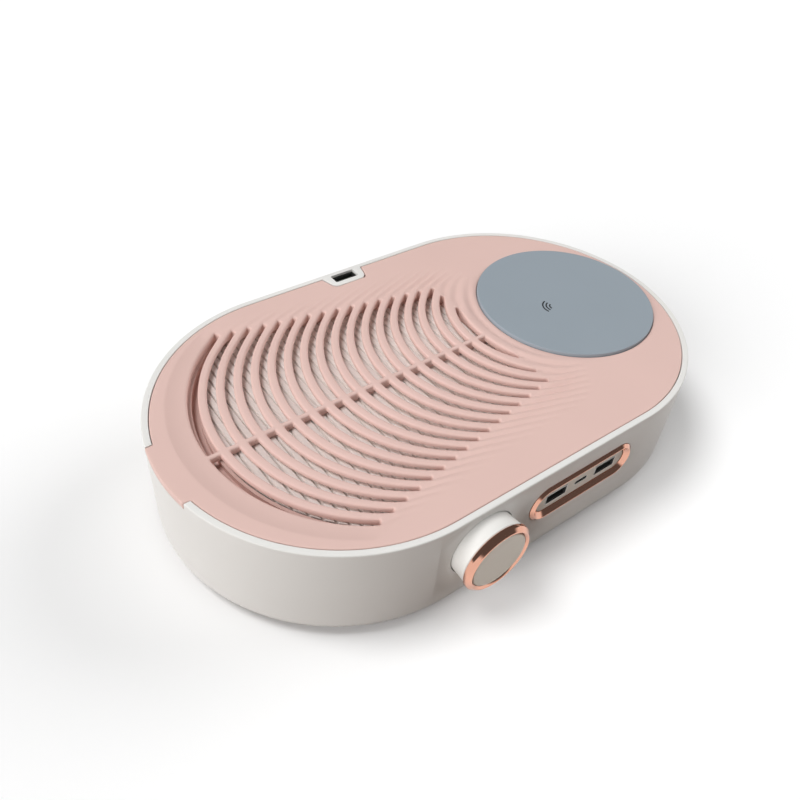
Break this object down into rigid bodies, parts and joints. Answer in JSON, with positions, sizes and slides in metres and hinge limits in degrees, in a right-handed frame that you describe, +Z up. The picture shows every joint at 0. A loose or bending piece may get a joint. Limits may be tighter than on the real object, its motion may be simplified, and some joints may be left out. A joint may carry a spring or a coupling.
{
  "type": "nail dust collector",
  "caption": "Low stadium-shaped nail dust collector with a lift-off curved slot grille cover, pleated filter, inner fan, round charging pad, front knob and USB ports.",
  "frame": {"origin": "centre of the whole outline, knob included, on the floor plane that the feet stand on", "axes": "+X along the length towards the round pad, -Y towards the knob and the ports, +Z up"},
  "size_m": [0.28, 0.1802, 0.0562],
  "materials": {
    "shell_white": "satin white moulding",
    "cover_pink": "soft satin pink moulding",
    "pad_slate": "matte grey-blue soft-touch",
    "rose_gold": "polished rose gold plating",
    "knob_face": "satin warm grey",
    "port_grey": "satin grey",
    "steel": "plain steel",
    "socket_black": "black",
    "filter_paper": "white pleated paper",
    "foam": "closed-cell foam",
    "foot_rubber": "matte rubber",
    "inner_plastic": "plain moulding",
    "board": "circuit board",
    "copper": "enamelled copper",
    "ferrite": "dark ceramic sheet",
    "battery": "shrink wrap"
  },
  "bodies": {
    "body": {"body_shell": "shell_white", "base_plate": "shell_white", "port_bezel": "rose_gold", "port_panel": "port_grey", "filter_seal": "foam", "fan_deck": "inner_plastic", "fan_housing": "inner_plastic", "fan_motor": "steel", "speed_control": "steel", "control_nut": "steel", "port_board": "board", "main_board": "board", "usb_socket_1": "steel", "usb_socket_2": "steel", "usb_c_socket": "steel", "lamp_socket": "steel", "usb_socket_1_tongue": "socket_black", "usb_socket_2_tongue": "socket_black", "usb_c_tongue": "socket_black", "lamp_socket_tongue": "socket_black", "battery_tray": "inner_plastic", "coil_carrier": "inner_plastic", "charging_coil": "copper", "ferrite_sheet": "ferrite", "foot_1": "foot_rubber", "base_screw_1": "steel", "deck_screw_1": "steel", "shell_magnet_1": "steel", "foot_2": "foot_rubber", "base_screw_2": "steel", "deck_screw_2": "steel", "shell_magnet_2": "steel", "foot_3": "foot_rubber", "base_screw_3": "steel", "deck_screw_3": "steel", "shell_magnet_3": "steel", "foot_4": "foot_rubber", "base_screw_4": "steel", "deck_screw_4": "steel", "shell_magnet_4": "steel", "battery_cell_1": "battery", "battery_cell_2": "battery", "battery_cell_3": "battery"},
    "cover": {"top_cover": "cover_pink", "charging_pad": "pad_slate", "cover_magnet_1": "steel", "cover_magnet_2": "steel", "cover_magnet_3": "steel", "cover_magnet_4": "steel"},
    "filter": {"filter_frame": "shell_white", "filter_pleats": "filter_paper"},
    "fan": {"fan_impeller": "inner_plastic", "motor_shaft": "steel"},
    "knob": {"knob_body": "shell_white", "knob_ring": "rose_gold", "knob_face": "knob_face", "control_shaft": "steel"}
  },
  "joints": [
    {"name": "knob_turn", "type": "hinge", "parent": "body", "child": "knob", "pos_m": [-0.0411, -0.07915, 0.0329], "axis": [0, 1, 0], "range_deg": [0, 300]},
    {"name": "cover_lift", "type": "slide", "parent": "body", "child": "cover", "axis": [0, 0, 1], "range_m": [0, 0.06]},
    {"name": "filter_lift", "type": "slide", "parent": "body", "child": "filter", "axis": [0, 0, 1], "range_m": [0, 0.03]},
    {"name": "fan_spin", "type": "hinge", "parent": "body", "child": "fan", "pos_m": [-0.05248, 0.0015, 0.022], "axis": [0, 0, 1], "continuous": true}
  ],
  "couplings": [
    {"joint": "filter_lift", "follows": "cover_lift", "ratio": 0.5}
  ]
}
